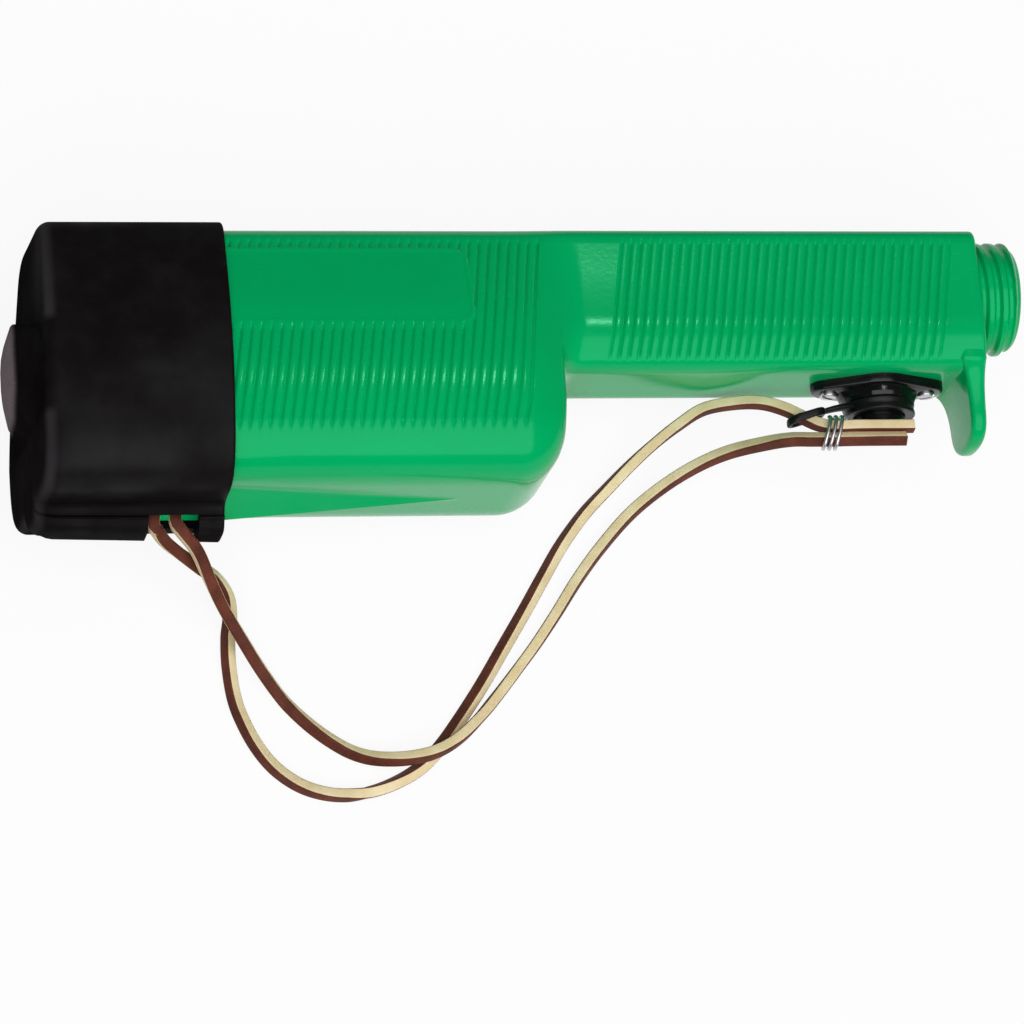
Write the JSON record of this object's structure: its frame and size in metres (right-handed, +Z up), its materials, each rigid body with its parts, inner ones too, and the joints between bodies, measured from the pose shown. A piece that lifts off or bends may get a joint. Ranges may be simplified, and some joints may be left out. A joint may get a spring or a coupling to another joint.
{
  "type": "electric stock prod handle",
  "caption": "Handle of an electric stock prod: deep battery body, slim ribbed grip, rubber end boot, push-button switch, finger guard, leather strap and a threaded front for a wand.",
  "frame": {"origin": "centre of the object's box, without its strap, at the height of the ground it lies on", "axes": "+X along the wand axis out of the threaded front, +Y to the top of the grip, +Z up through the right flank, with the left flank down"},
  "size_m": [0.2885, 0.1557, 0.0644],
  "materials": {
    "case_green": "moulded gloss, ribbed grip",
    "boot_rubber": "matt moulded rubber",
    "switch_rubber": "satin rubber",
    "switch_black": "gloss",
    "inner_black": "moulded",
    "brass": "stamped",
    "steel": "bright wire",
    "leather": "grain side brown, cut edge cream",
    "board": "laminate",
    "potting": "potted coil",
    "cell_jacket": "plain jacket",
    "lead_sheath": "insulated wire"
  },
  "bodies": {
    "case": {"case_right": "case_green", "case_left": "case_green", "wand_coupling": "case_green", "contact_plug": "inner_black", "output_contacts": "brass", "battery_divider": "inner_black", "bay_contacts": "brass", "circuit_board": "board", "board_parts": "inner_black", "pulse_coil": "potting", "switch_flange": "switch_black", "flange_gasket": "switch_rubber", "flange_screws": "steel", "switch_collar": "switch_rubber", "switch_body": "inner_black", "switch_terminals": "brass", "button_spring": "steel", "battery_leads": "lead_sheath", "switch_leads": "lead_sheath", "output_leads": "lead_sheath", "strap_pin": "steel", "lace_loop": "leather", "lace_inner": "leather", "lace_outer": "leather", "wire_clip": "steel"},
    "trigger": {"button": "switch_black", "contact_bridge": "brass"},
    "boot": {"boot": "boot_rubber"},
    "carrier": {"battery_carrier": "inner_black", "cell_1": "cell_jacket", "cell_2": "cell_jacket", "cell_3": "cell_jacket", "cell_4": "cell_jacket", "carrier_contacts": "brass"}
  },
  "joints": [
    {"name": "trigger_press", "type": "slide", "parent": "case", "child": "trigger", "axis": [0, 1, 0], "range_m": [0, 0.003], "stiffness_N_per_m": 1200, "springref_m": -0.002, "deforming": ["button_spring"]},
    {"name": "boot_pull", "type": "slide", "parent": "case", "child": "boot", "axis": [-1, 0, 0], "range_m": [0, 0.23], "deforming": ["lace_loop", "lace_inner", "lace_outer"]},
    {"name": "carrier_slide", "type": "slide", "parent": "case", "child": "carrier", "axis": [-1, 0, 0], "range_m": [0, 0.115]}
  ],
  "couplings": [
    {"joint": "carrier_slide", "follows": "boot_pull", "ratio": 0.5}
  ]
}
